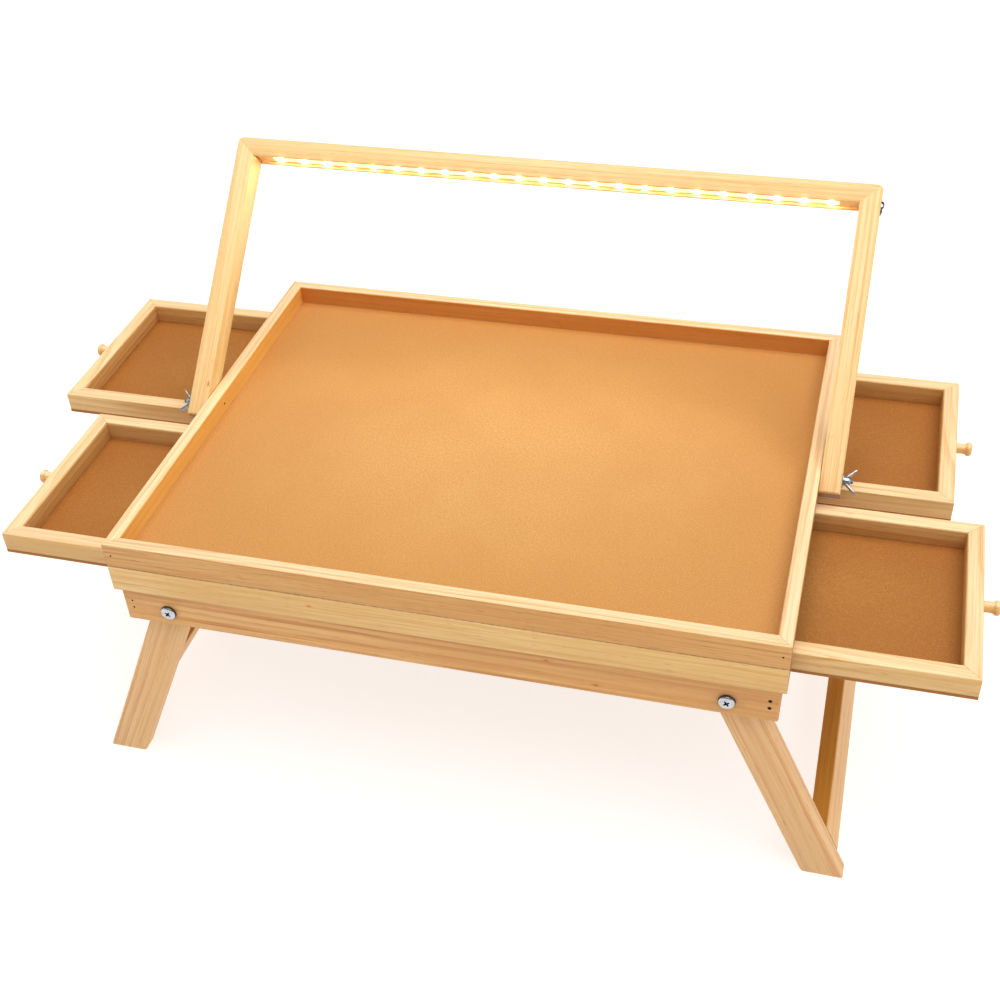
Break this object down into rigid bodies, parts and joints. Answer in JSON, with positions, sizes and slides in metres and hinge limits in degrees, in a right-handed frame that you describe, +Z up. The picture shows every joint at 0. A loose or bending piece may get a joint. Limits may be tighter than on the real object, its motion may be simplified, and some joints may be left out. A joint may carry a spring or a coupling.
{
  "type": "folding jigsaw puzzle table with drawers",
  "caption": "Low wooden jigsaw table with a recessed board, drawers that slide out at both ends, folding splayed legs and a tilting lamp arch.",
  "frame": {"origin": "centre of the puzzle board's top face", "axes": "+Z up, +X along the table's long side to the right, -Y towards the person who sits at it"},
  "size_m": [1.281, 0.63, 0.6468],
  "materials": {
    "pine": "planed and sanded pine, clear satin",
    "turned_wood": "turned and sanded, clear satin",
    "tenon_wood": "plain hardwood, glued",
    "puzzle_board": "smooth matt fibreboard",
    "drawer_floor_board": "smooth matt fibreboard",
    "chromed_bolt": "bright chrome plating",
    "zinc_steel": "bright zinc plating",
    "nail_steel": "dark sunk nail heads",
    "dark_steel": "blackened steel",
    "led_tape": "white flexible tape",
    "led_chip": "lit warm white lamp"
  },
  "bodies": {
    "table": {"apron_back": "pine", "apron_front": "pine", "apron_left": "pine", "apron_nails": "nail_steel", "apron_right": "pine", "case_divider": "pine", "case_rail_back": "pine", "case_rail_front": "pine", "drawer_runner_centre": "pine", "drawer_runners_side": "pine", "drawer_stops": "pine", "lamp_studs": "zinc_steel", "lamp_washers": "zinc_steel", "leg_bolts": "chromed_bolt", "leg_nuts": "zinc_steel", "tray_board": "puzzle_board", "tray_nails": "nail_steel", "tray_rail_back": "pine", "tray_rail_front": "pine", "tray_rail_left": "pine", "tray_rail_right": "pine"},
    "leg_frame_left": {"leg_front_left": "pine", "leg_back_left": "pine", "crossbar_left": "pine", "crossbar_tenons_left": "tenon_wood"},
    "leg_frame_right": {"leg_front_right": "pine", "leg_back_right": "pine", "crossbar_right": "pine", "crossbar_tenons_right": "tenon_wood"},
    "drawer_front_left": {"drawer_front_left_face": "pine", "drawer_front_left_floor": "drawer_floor_board", "drawer_front_left_inner": "pine", "drawer_front_left_knob": "turned_wood", "drawer_front_left_sides": "pine"},
    "drawer_back_left": {"drawer_back_left_face": "pine", "drawer_back_left_floor": "drawer_floor_board", "drawer_back_left_inner": "pine", "drawer_back_left_knob": "turned_wood", "drawer_back_left_sides": "pine"},
    "drawer_front_right": {"drawer_front_right_face": "pine", "drawer_front_right_floor": "drawer_floor_board", "drawer_front_right_inner": "pine", "drawer_front_right_knob": "turned_wood", "drawer_front_right_sides": "pine"},
    "drawer_back_right": {"drawer_back_right_face": "pine", "drawer_back_right_floor": "drawer_floor_board", "drawer_back_right_inner": "pine", "drawer_back_right_knob": "turned_wood", "drawer_back_right_sides": "pine"},
    "lamp_frame": {"lamp_leg_left": "pine", "lamp_leg_right": "pine", "lamp_top_rail": "pine", "lamp_led_tape": "led_tape", "lamp_led_chips": "led_chip", "lamp_clip": "dark_steel", "lamp_clip_screw": "dark_steel"},
    "wing_nut_left": {"wing_nut_left": "zinc_steel"},
    "wing_nut_right": {"wing_nut_right": "zinc_steel"}
  },
  "joints": [
    {"name": "leg_fold_left", "type": "hinge", "parent": "table", "child": "leg_frame_left", "pos_m": [-0.34083, 0, -0.077], "axis": [0, -1, 0], "range_deg": [0, 114]},
    {"name": "leg_fold_right", "type": "hinge", "parent": "table", "child": "leg_frame_right", "pos_m": [0.34083, 0, -0.077], "axis": [0, 1, 0], "range_deg": [0, 114]},
    {"name": "drawer_slide_front_left", "type": "slide", "parent": "table", "child": "drawer_front_left", "axis": [-1, 0, 0], "range_m": [-0.163, 0.097]},
    {"name": "drawer_slide_back_left", "type": "slide", "parent": "table", "child": "drawer_back_left", "axis": [-1, 0, 0], "range_m": [-0.233, 0.027]},
    {"name": "drawer_slide_front_right", "type": "slide", "parent": "table", "child": "drawer_front_right", "axis": [1, 0, 0], "range_m": [-0.198, 0.062]},
    {"name": "drawer_slide_back_right", "type": "slide", "parent": "table", "child": "drawer_back_right", "axis": [1, 0, 0], "range_m": [-0.161, 0.099]},
    {"name": "lamp_tilt", "type": "hinge", "parent": "table", "child": "lamp_frame", "pos_m": [0, 0.004, 0.0112], "axis": [1, 0, 0], "range_deg": [-42.5, 137.5]},
    {"name": "wing_nut_turn_left", "type": "hinge", "parent": "table", "child": "wing_nut_left", "pos_m": [-0.4328, 0.004, 0.0112], "axis": [-1, 0, 0], "continuous": true},
    {"name": "wing_nut_turn_right", "type": "hinge", "parent": "table", "child": "wing_nut_right", "pos_m": [0.4328, 0.004, 0.0112], "axis": [1, 0, 0], "continuous": true}
  ]
}
